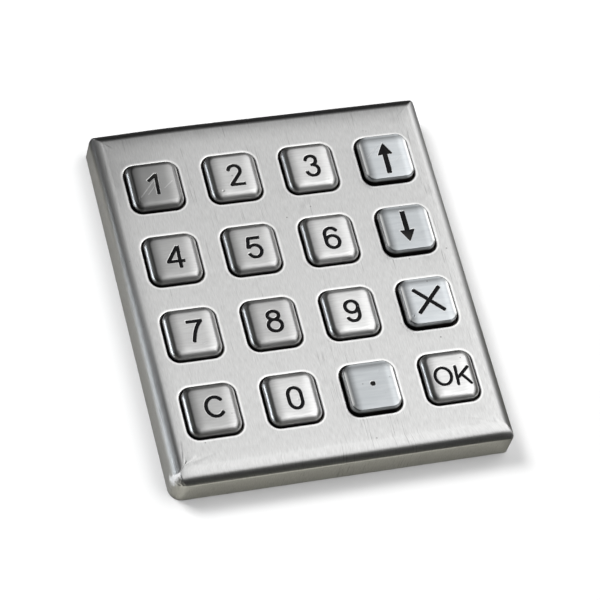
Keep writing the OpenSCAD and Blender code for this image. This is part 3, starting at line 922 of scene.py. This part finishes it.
rise, plug_high = flange_low - web_high, flange_low - DOME_WALL
plug_outline = [(0, pill_high), (PLUG_R - 0.1, pill_high), (PLUG_R, pill_high + 0.1)]
plug_outline += [(PLUG_R, plug_high), (0, plug_high)]
domes, plugs = [], []
for name in KEY_NAMES:
    dome = turned("dome_" + name, dome_outline(), key_centre(name))
    stand_in(dome, "housing", "key_mat")
    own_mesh(dome)
    domes.append(dome)
    plug = turned("plug_" + name, plug_outline, key_centre(name))
    stand_in(plug, "button_" + name, "key_mat")
    plugs.append(plug)
print("domes and plugs:", len(domes), "of each")

# %% [markdown]
# ## Broken edges on the turned and milled pieces
#
# A CAD solid has knife edges, and no edge on a bench is a knife: it is deburred, tumbled or moulded
# with a radius. A Bevel modifier on a merged copy adds that, and the light line along each edge shows
# the piece's shape from far away.

# %% Copies with broken edges
SOFTENED = {    # new name, width of the broken edge, and slot
    "back_plate": ("back_cover", 0.12, "back_aluminium"),
    "back_screws": ("back_cover_screws", 0.05, "fixing_steel"),
    "mount_bushes": ("threaded_bushes", 0.15, "fixing_steel"),
    "header_shell": ("header_housing", 0.1, "header_nylon"),
    "controller_chip": ("chip_body", 0.12, "chip_resin"),
    "spacers": ("board_spacers", 0.1, "header_nylon"),
    "pillars": ("plate_pillars", 0.1, "fixing_steel"),
    "circuit_board": ("board", 0.08, "board_laminate"),
    "guide_frame": ("frame_moulding", 0.12, "frame_plastic"),
}
softened = {}
for node, (name, width, slot) in SOFTENED.items():
    piece = bpy.data.objects.new(name, frame["nodes"][node].data.copy())
    bpy.context.scene.collection.objects.link(piece)
    merge = piece.modifiers.new("merge", "WELD")
    merge.merge_threshold = 1e-6
    edge = piece.modifiers.new("edge", "BEVEL")
    edge.width = width * MM
    edge.segments = 2
    edge.limit_method = "ANGLE"
    edge.angle_limit = math.radians(40)
    stand_in(piece, frame["nodes"][node]["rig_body"], node)
    softened[node] = piece
print("softened:", len(softened))

# %% [markdown]
# ## Shader groups: grain, marks, scuffs and pits
#
# Brushing is a direction. `grain` stretches noise along one axis and gives out a height for the bump
# and a tone for the colour. `marks` gives a mask of stains and smudges, `scuffs` one of long thin
# scratches, and `pits` one of small dark spots. Each is built once, and every material sets its own
# values.


# %% Node helpers
def fill(node, inputs):
    """Links or sets a node's inputs, by name or number."""
    for key, value in inputs.items():
        if isinstance(value, bpy.types.NodeSocket):
            node.id_data.links.new(value, node.inputs[key])
        else:
            node.inputs[key].default_value = value
    return node


def add(tree, kind, inputs=None, **settings):
    """Adds a shader node, sets its properties and fills its inputs."""
    node = tree.nodes.new("ShaderNode" + kind)
    for key, value in settings.items():
        setattr(node, key, value)
    return fill(node, inputs or {})


# The helpers below put their node into the tree of a socket that they read.
def maths(operation, *values, clamp=False):
    """A Math node's result."""
    tree = next(v.id_data for v in values if isinstance(v, bpy.types.NodeSocket))
    return add(tree, "Math", dict(enumerate(values)), operation=operation, use_clamp=clamp).outputs[0]


def times(a, b):
    """The product of two values."""
    return maths("MULTIPLY", a, b)


def plus(a, b):
    """The sum of two values."""
    return maths("ADD", a, b)


def noise(vector, scale, detail=2.0, roughness=0.5):
    """A Noise Texture's value."""
    inputs = {"Vector": vector, "Scale": scale, "Detail": detail, "Roughness": roughness}
    return add(vector.id_data, "TexNoise", inputs).outputs["Fac"]


def remap(value, low, high, to_low=0.0, to_high=1.0, ease="LINEAR"):
    """A Map Range node's result, clamped."""
    inputs = {"Value": value, "From Min": low, "From Max": high, "To Min": to_low, "To Max": to_high}
    return add(value.id_data, "MapRange", inputs, interpolation_type=ease).outputs[0]


def blend(factor, *colours):
    """A colour between two sockets or colours. A colour is a triple, or one number for a grey."""
    inputs = {0: factor}
    for key, colour in zip((6, 7), colours):
        if not isinstance(colour, bpy.types.NodeSocket):
            colour = (*np.broadcast_to(colour, 3), 1)
        inputs[key] = colour
    return add(factor.id_data, "Mix", inputs, data_type="RGBA").outputs[2]


def bump(height, strength, distance):
    """A Bump node's normal, with its distance in metres."""
    inputs = {"Height": height, "Strength": strength, "Distance": distance}
    return add(height.id_data, "Bump", inputs).outputs[0]


# %% Group helpers
def new_group(name, inputs, outputs):
    """The input sockets and the output node of a new group; it reads a Vector and named numbers."""
    tree = bpy.data.node_groups.new(name, "ShaderNodeTree")
    tree.interface.new_socket("Vector", in_out="INPUT", socket_type="NodeSocketVector")
    for label, value in inputs.items():
        socket = tree.interface.new_socket(label, in_out="INPUT", socket_type="NodeSocketFloat")
        socket.default_value = value
    for label in outputs:
        tree.interface.new_socket(label, in_out="OUTPUT", socket_type="NodeSocketFloat")
    return tree.nodes.new("NodeGroupInput").outputs, tree.nodes.new("NodeGroupOutput")


def stretched(given):
    """A group's Vector times (Across, Along, Across), which are lines per metre."""
    tree = given["Vector"].id_data
    stretch = add(tree, "CombineXYZ", {0: given["Across"], 1: given["Along"], 2: given["Across"]})
    inputs = {0: given["Vector"], 1: stretch.outputs[0]}
    return add(tree, "VectorMath", inputs, operation="MULTIPLY").outputs[0]


def group(content, **inputs):
    """The outputs of a node group, placed with its inputs by name."""
    return fill(add(inputs["Vector"].id_data, "Group", node_tree=content), inputs).outputs


# %% The four groups
def build_grain():
    """Stretched noise at two widths, 0.6 of the fine one and 0.4 of the coarse one."""
    given, out = new_group("grain", {"Across": 4000.0, "Along": 120.0}, ("Height", "Tone"))
    fine = stretched(given)
    coarse = noise(fine, 0.23, 3.0)
    height = plus(times(noise(fine, 1.0), 0.6), times(coarse, 0.4))
    return fill(out, {"Height": height, "Tone": remap(coarse, 0.3, 0.7)}).id_data


def build_marks():
    """A cloudy mask: rough noise, cut at a threshold that Amount lowers."""
    given, out = new_group("marks", {"Scale": 60.0, "Amount": 0.4}, ("Mask",))
    cloud = noise(given["Vector"], given["Scale"], 4.0, 0.6)
    edge = maths("SUBTRACT", 0.75, times(given["Amount"], 0.4))
    return fill(out, {"Mask": remap(cloud, edge, plus(edge, 0.18))}).id_data


def build_scuffs():
    """Long thin scratches: the peaks of noise stretched into lines, kept where a cloud allows."""
    given, out = new_group("scuffs", {"Across": 300.0, "Along": 12.0, "Amount": 0.5}, ("Mask",))
    fine = stretched(given)
    line = remap(noise(fine, 1.0, 1.0), 0.6, 0.7)
    allow = remap(noise(fine, 0.06), 0.5, 0.62)
    return fill(out, {"Mask": times(times(line, allow), given["Amount"])}).id_data


def build_pits():
    """Small round spots: the middles of Voronoi cells, kept where a slow noise allows them."""
    given, out = new_group("pits", {"Scale": 300.0, "Size": 0.08}, ("Mask",))
    cells = add(out.id_data, "TexVoronoi", {"Vector": given["Vector"], "Scale": given["Scale"]})
    spot = remap(cells.outputs["Distance"], 0.0, given["Size"], 1.0, 0.0)
    keep = remap(noise(given["Vector"], 47.0, 1.0), 0.48, 0.58)
    return fill(out, {"Mask": times(spot, keep)}).id_data


GRAIN, MARKS, SCUFFS, SPOTS = build_grain(), build_marks(), build_scuffs(), build_pits()
print("groups:", [g.name for g in (GRAIN, MARKS, SCUFFS, SPOTS)])


# %% Material helpers
def new_material(name, **values):
    """A material, its Principled shader with constant values set, and Object coordinates."""
    material = bpy.data.materials.new(name)
    material.use_nodes = True
    shader = material.node_tree.nodes["Principled BSDF"]
    fill(shader, {key.replace("_", " "): value for key, value in values.items()})
    return material, shader, add(material.node_tree, "TexCoord").outputs["Object"]


def surface(shader, colour, rough, normal):
    """Links what changes over the surface to its shader."""
    fill(shader, {"Base Color": colour, "Roughness": rough, "Normal": normal})


def dress(piece, material):
    """Gives a piece one material in place of what it has."""
    piece.data.materials.clear()
    piece.data.materials.append(material)


# %% [markdown]
# ## Brushed steel
#
# Fine parallel scratches scatter light across themselves and hardly at all along themselves. The
# Principled shader does this with its anisotropy, whose tangent comes from the UV map, and the map was
# laid so that its first axis is always across the scratches. The ends of the plate then mirror the
# dark room as a crisp band, while its long sides fade softly, and the caps, brushed the other way, do
# the reverse.
#
# What belongs to one place only, such as a lump of weld, a key's darker tone and the painted highlights
# and painted shade along edges, is kept as a number at each point of the mesh, and the material reads
# it by name.

# %% Tones of worn steel, painted highlights and painted shade
# painted highlight on the punched rims of the plate
PAINTED_RIM_HIGHLIGHT = (0.93, 0.93, 0.92)
# painted highlight on the caps' sides and round their legends
PAINTED_EDGE_HIGHLIGHT = (0.82, 0.82, 0.81)
BARE_WELD = 0.8
SCRATCHED = 0.9
# painted shade, with some dirt, low on the caps' sides
SHADE_AND_DIRT = (0.02, 0.018, 0.016)
PIT_DIRT = (0.06, 0.055, 0.05)
LUMP_SCALE = 900.0
GRAIN_BUMP = (0.25, 0.00002)


# %% Steel of the plate and the caps
def brushed_steel(name, light, dark, lines, roughness, marks, pressed):
    """Steel between two tones, with lines per metre across and along, and marks as (scale, amount).

    A pressed key adds its darker tone and painted shade, painted highlights on its edges, painted shade
    with some dirt low on its sides, and its scratches; the plate adds painted highlights on its rims,
    and its weld.
    """
    material, shader, place = new_material(name, Metallic=1.0, Anisotropic=0.8)
    tree, dark = shader.id_data, np.array(dark)
    uv = add(tree, "UVMap", uv_map="grain").outputs[0]
    grain = group(GRAIN, Vector=uv, Across=lines[0], Along=lines[1])
    scuffs = group(SCUFFS, Vector=uv, Across=lines[0] * 0.22, Along=lines[1] * 0.05, Amount=0.6)["Mask"]
    cloud = group(MARKS, Vector=place, Scale=marks[0], Amount=marks[1])["Mask"]
    pits = group(SPOTS, Vector=place, Scale=260.0, Size=0.07)["Mask"]
    colour = blend(scuffs, blend(grain["Tone"], dark, light), dark * 0.55)
    colour = blend(pits, blend(times(cloud, 0.35), colour, dark * 0.7), PIT_DIRT)
    rough = plus(remap(grain["Tone"], 0.0, 1.0, roughness + 0.03, roughness - 0.03), times(cloud, 0.12))
    height = maths("SUBTRACT", grain["Height"], times(pits, 2.0))
    height = maths("SUBTRACT", height, times(scuffs, 2.0))
    kept = {
        label: add(tree, "Attribute", attribute_name=label).outputs["Fac"]
        for label in (("wear", "edge", "grime", "scratch") if pressed else ("rim", "weld"))
    }
    if pressed:
        # The key's darker tone with painted shade, the painted highlight of its edges, and painted shade
        # with some dirt low on its sides.
        colour = blend(kept["edge"], blend(kept["wear"], colour, dark * 0.45), PAINTED_EDGE_HIGHLIGHT)
        colour = blend(kept["grime"], colour, SHADE_AND_DIRT)
        colour = blend(times(kept["scratch"], 0.45), colour, SCRATCHED)
        rough = plus(rough, times(kept["scratch"], 0.3))
        height = maths("SUBTRACT", height, kept["scratch"])
    else:
        lumps = remap(noise(place, LUMP_SCALE, 3.0, 0.6), 0.35, 0.6)
        bare = maths("MULTIPLY", kept["weld"], plus(0.35, lumps), clamp=True)
        # Painted highlight on the punched rims, under the bare weld.
        colour = blend(bare, blend(kept["rim"], colour, PAINTED_RIM_HIGHLIGHT), BARE_WELD)
        rough = plus(rough, times(bare, 0.3))
        height = plus(height, times(times(kept["weld"], lumps), 6.0))
        fill(shader, {"Metallic": maths("SUBTRACT", 1.0, times(bare, 0.9))})
    tangent = add(tree, "Tangent", direction_type="UV_MAP", uv_map="grain").outputs[0]
    fill(shader, {"Tangent": tangent})
    surface(shader, colour, rough, bump(height, *GRAIN_BUMP))
    return material


plate_steel = brushed_steel(
    "brushed_plate_steel", (0.67, 0.67, 0.665), (0.58, 0.58, 0.575), (1700.0, 240.0), 0.36, (55.0, 0.25),
    pressed=False,
)
key_steel = brushed_steel(
    "brushed_key_steel", (0.665, 0.665, 0.66), (0.575, 0.575, 0.57), (1100.0, 110.0), 0.33, (120.0, 0.2),
    pressed=True,
)
flat_key_steel = brushed_steel(
    "satin_key_steel", (0.62, 0.645, 0.66), (0.55, 0.58, 0.6), (700.0, 60.0), 0.36, (100.0, 0.2),
    pressed=True,
)
dress(plate, plate_steel)
for name, cap in caps.items():
    dress(cap, flat_key_steel if name in FLAT_KEYS else key_steel)
print("steel on", 1 + len(caps), "pieces")

# %% [markdown]
# ## Enamel, rubber, plastic and plated metal
#
# The small materials follow the same plan: a base colour broken up by noise, a roughness that
# is not the same everywhere, and a bump at the scale of the real surface.


# %% Enamel and the plain materials
def speckled(name, dark, light, roughness, scale, bump_depth, metallic=0.0, **values):
    """A material between two colours by noise, with an uneven roughness and a fine bump."""
    material, shader, place = new_material(name, Metallic=metallic, **values)
    grains = noise(place, scale, 3.0)
    cloud = group(MARKS, Vector=place, Scale=scale / 12, Amount=0.5)["Mask"]
    colour = blend(times(cloud, 0.2), blend(remap(grains, 0.35, 0.65), dark, light), (0.1, 0.095, 0.085))
    rough = plus(remap(grains, 0.3, 0.7, roughness - 0.05, roughness + 0.05), times(cloud, 0.1))
    surface(shader, colour, rough, bump(grains, 0.5, bump_depth))
    return material


enamel = speckled(
    "black_enamel", (0.0015, 0.0015, 0.002), (0.004, 0.004, 0.005), 0.4, 900.0, 4e-6,
    Specular_IOR_Level=0.1,
)
PLAIN = {    # two colours, roughness, noise scale, bump depth in metres, and 1 for a metal
    "grey_silicone": ((0.42, 0.44, 0.46), (0.5, 0.52, 0.54), 0.55, 500.0, 6e-6),
    "black_rubber": ((0.012, 0.012, 0.013), (0.03, 0.03, 0.031), 0.7, 1500.0, 1e-5),
    "frame_plastic": ((0.015, 0.015, 0.017), (0.03, 0.03, 0.032), 0.5, 1800.0, 8e-6),
    "carbon_print": ((0.01, 0.01, 0.01), (0.04, 0.04, 0.04), 0.65, 2500.0, 5e-6),
    "chip_resin": ((0.01, 0.01, 0.011), (0.025, 0.025, 0.026), 0.45, 3000.0, 6e-6),
    "header_nylon": ((0.72, 0.69, 0.58), (0.8, 0.77, 0.66), 0.42, 400.0, 5e-6),
    "tinned_leads": ((0.6, 0.6, 0.58), (0.75, 0.75, 0.73), 0.3, 1500.0, 4e-6, 1.0),
    "gold_pins": ((0.75, 0.52, 0.22), (0.88, 0.66, 0.32), 0.22, 1200.0, 3e-6, 1.0),
    "fixing_steel": ((0.48, 0.49, 0.5), (0.62, 0.63, 0.64), 0.32, 900.0, 5e-6, 1.0),
}
plain = {name: speckled(name, *values) for name, values in PLAIN.items()}
print("plain materials:", len(plain))


# %% Aluminium, threads and the board
def brushed_aluminium():
    """Rolled aluminium: long grain along X and a few dull patches."""
    material, shader, place = new_material("back_aluminium", Metallic=1.0, Anisotropic=0.5)
    inputs = {"Vector": place, "Rotation": (0, 0, math.pi / 2)}
    along_x = add(shader.id_data, "Mapping", inputs).outputs[0]
    grain = group(GRAIN, Vector=along_x, Across=5000.0, Along=90.0)
    cloud = group(MARKS, Vector=place, Scale=45.0, Amount=0.6)["Mask"]
    colour = blend(grain["Tone"], (0.52, 0.53, 0.54), (0.66, 0.67, 0.68))
    colour = blend(times(cloud, 0.4), colour, (0.38, 0.39, 0.4))
    rough = plus(remap(grain["Tone"], 0.0, 1.0, 0.34, 0.42), times(cloud, 0.12))
    surface(shader, colour, rough, bump(grain["Height"], 0.3, 0.00001))
    return material


def threaded(pitch):
    """Plated steel whose bump is a saw of bands along Z, one for each turn of the thread."""
    material, shader, place = new_material("threaded_steel", Metallic=1.0)
    height = add(shader.id_data, "SeparateXYZ", {0: place}).outputs[2]
    turn = maths("DIVIDE", maths("PINGPONG", height, pitch / 2), pitch / 2)
    grains = noise(place, 900.0, 3.0)
    colour = blend(grains, 0.5, (0.64, 0.64, 0.63))
    surface(shader, colour, remap(grains, 0.3, 0.7, 0.28, 0.4), bump(turn, 0.8, pitch * 0.4))
    return material


def solder_mask():
    """Green lacquer over copper tracks: a brick pattern stands for the tracks, raised and lighter."""
    material, shader, place = new_material("board_laminate", Coat_Weight=0.4, Coat_Roughness=0.15)
    tracks = add(shader.id_data, "TexBrick", {
        "Vector": place, "Scale": 220.0, "Mortar Size": 0.06, "Brick Width": 1.6, "Row Height": 0.28,
    }).outputs["Fac"]
    weave = noise(place, 1600.0)
    colour = blend(tracks, (0.008, 0.12, 0.05), (0.03, 0.26, 0.11))
    colour = blend(remap(weave, 0.4, 0.8, 0.0, 0.3), colour, (0.02, 0.08, 0.04))
    surface(shader, colour, remap(weave, 0.3, 0.7, 0.3, 0.42), bump(tracks, 0.4, 0.00003))
    return material


aluminium, thread_steel, laminate = brushed_aluminium(), threaded(0.0005), solder_mask()

# %% Materials onto the pieces
for piece in enamels:
    dress(piece, enamel)
for piece in (web, *domes, *plugs):
    dress(piece, plain["grey_silicone"])
FINISH = {
    "back_plate": aluminium, "back_screws": plain["fixing_steel"], "mount_bushes": thread_steel,
    "header_shell": plain["header_nylon"], "controller_chip": plain["chip_resin"],
    "spacers": plain["header_nylon"], "pillars": thread_steel, "circuit_board": laminate,
    "guide_frame": plain["frame_plastic"], "plate_gasket": plain["black_rubber"],
    "back_seal": plain["black_rubber"], "contact_pads": plain["carbon_print"],
    "chip_leads": plain["tinned_leads"], "row_resistors": plain["chip_resin"],
    "header_pins": plain["gold_pins"],
}
FINISH.update({"pill_" + name: plain["carbon_print"] for name in KEY_NAMES})
for node, material in FINISH.items():
    dress(softened.get(node, frame["nodes"][node]), material)
print("inner pieces finished:", len(FINISH))

# %% [markdown]
# ## Floor and light
#
# Bare steel is lit by what it mirrors, so the light here is mostly a room and not lamps. A silk
# overhead is bright towards the right and fades towards the left, and every flat top mirrors a part of
# it. Low down in front and behind, the room stays dark, and that is the dark line along the folds. A
# cool strip on the left draws the bright line inside each cap's left edge, and two weak glows lift the
# corners. Two lamps that nothing mirrors give the soft shadow and the fill.
#
# The floor is pale to the eye. In the steel it shows a painted reflection of olive and dark tones,
# lighter in front than behind, with a painted shadow behind the keypad and to its right, because those
# are what the walls and the lower folds show.

# %% Floor
FLOOR_HALF = 1500.0
FLOOR_GAP = 0.03            # below the keypad, so that the rim and the floor never share a plane
# Colours that the steel mirrors from the floor: a painted reflection, with painted shadow as its darkest
REFLECTED_FLOOR, REFLECTED_FLOOR_FRONT, REFLECTED_SHADE = (0.35, 0.34, 0.31), (0.5, 0.49, 0.43), 0.03
floor_edges = np.array([-FLOOR_HALF, FLOOR_HALF])
floor_points = lift(rectangle_ring(floor_edges, floor_edges), -FLOOR_GAP)
floor = make_piece("floor", floor_points, [np.array([[0, 1, 2, 3]])])
floor_material, floor_shader, floor_place = new_material(
    "pale_floor", Roughness=0.9, Specular_IOR_Level=0.1
)
floor_x, floor_y, _ = add(floor_shader.id_data, "SeparateXYZ", {0: floor_place}).outputs
# Painted reflection and painted shadow, seen only by glossy rays: lighter in front, dark behind and, at
# 0.7 of that, to the right.
painted_reflection = blend(remap(floor_y, -0.045, -0.05), REFLECTED_FLOOR, REFLECTED_FLOOR_FRONT)
shade_beside = times(remap(floor_x, 0.041, 0.045), 0.7)
painted_reflection = blend(maths("MAXIMUM", remap(floor_y, 0.045, 0.06), shade_beside), painted_reflection, REFLECTED_SHADE)
mirrored = add(floor_shader.id_data, "LightPath").outputs["Is Glossy Ray"]
fill(floor_shader, {"Base Color": blend(mirrored, blend(noise(floor_place, 3.0), 0.86, 0.88), painted_reflection)})
dress(floor, floor_material)


# %% Lamps
def soft_box(name, direction, distance, size, power, colour=(1, 1, 1), mirrored=True):
    """A rectangular lamp in a direction from the keypad, given as azimuth and elevation in degrees.

    Azimuth 0 is towards +X and 90 towards +Y. One that isn't mirrored lights only matt surfaces.
    """
    azimuth, elevation = (math.radians(a) for a in direction)
    data = bpy.data.lights.new(name, "AREA")
    data.shape = "RECTANGLE"
    data.size, data.size_y = size
    data.energy = power
    data.color = colour
    lamp = bpy.data.objects.new(name, data)
    level = math.cos(elevation)
    toward = np.array([math.cos(azimuth) * level, math.sin(azimuth) * level, math.sin(elevation)])
    lamp.location = toward * distance
    lamp.rotation_euler = (math.pi / 2 - elevation, 0, azimuth + math.pi / 2)
    lamp.visible_glossy = mirrored
    lamp.visible_camera = False
    bpy.context.scene.collection.objects.link(lamp)


soft_box("left_strip", (172, 9), 1.2, (0.8, 0.34), 2.9, (0.88, 0.94, 1.0))
soft_box("shadow_lamp", (135, 50), 1.6, (0.6, 0.6), 19, mirrored=False)
soft_box("overhead_fill", (90, 85), 1.6, (1.5, 1.5), 3, mirrored=False)

# %% The silk overhead
SILK = 2.18                 # strength of the silk where it is brightest
ROOM = 0.012                # strength of the dark room
WALL = 0.86                 # what the eye sees behind the keypad
GLOWS = (((-0.62, 0.7, 0.36), 0.18), ((0.69, -0.68, 0.25), 0.14))


def smooth(value, low, high):
    """A smooth step from 0 at low to 1 at high."""
    return remap(value, low, high, ease="SMOOTHSTEP")


def silk_room():
    """A room lit through a stretched silk.

    Its light is SILK * ramp(x) * hump(y) + glows + ROOM, for a direction (x, y, z): the ramp rises
    towards +X, and the hump falls low down towards +Y and -Y.
    """
    room = bpy.data.worlds.new("room")
    room.use_nodes = True
    tree = room.node_tree
    toward = add(tree, "TexCoord").outputs["Generated"]
    x, y, _ = add(tree, "SeparateXYZ", {0: toward}).outputs
    ramp = times(maths("POWER", remap(x, -0.78, 0.42), 2.5), smooth(x, 0.98, 0.52))
    slant = maths("DIVIDE", y, maths("SQRT", maths("SUBTRACT", 1.0001, times(x, x))))
    hump = times(smooth(slant, -0.74, -0.57), smooth(y, 0.86, 0.34))
    light = times(times(times(ramp, hump), SILK), remap(y, 0.49, 0.4, 0.83, 1.1))
    for centre, strength in GLOWS:
        near = add(tree, "VectorMath", {0: toward, 1: centre}, operation="DOT_PRODUCT").outputs["Value"]
        light = plus(light, times(smooth(near, 0.945, 0.995), strength))
    seen = add(tree, "LightPath").outputs["Is Camera Ray"]
    light = add(tree, "Mix", {0: seen, 2: plus(light, ROOM), 3: WALL}).outputs[0]
    fill(tree.nodes["Background"], {"Strength": light, "Color": (1, 1, 1, 1)})
    return room


bpy.context.scene.world = silk_room()
bpy.context.scene.view_settings.view_transform = "Standard"
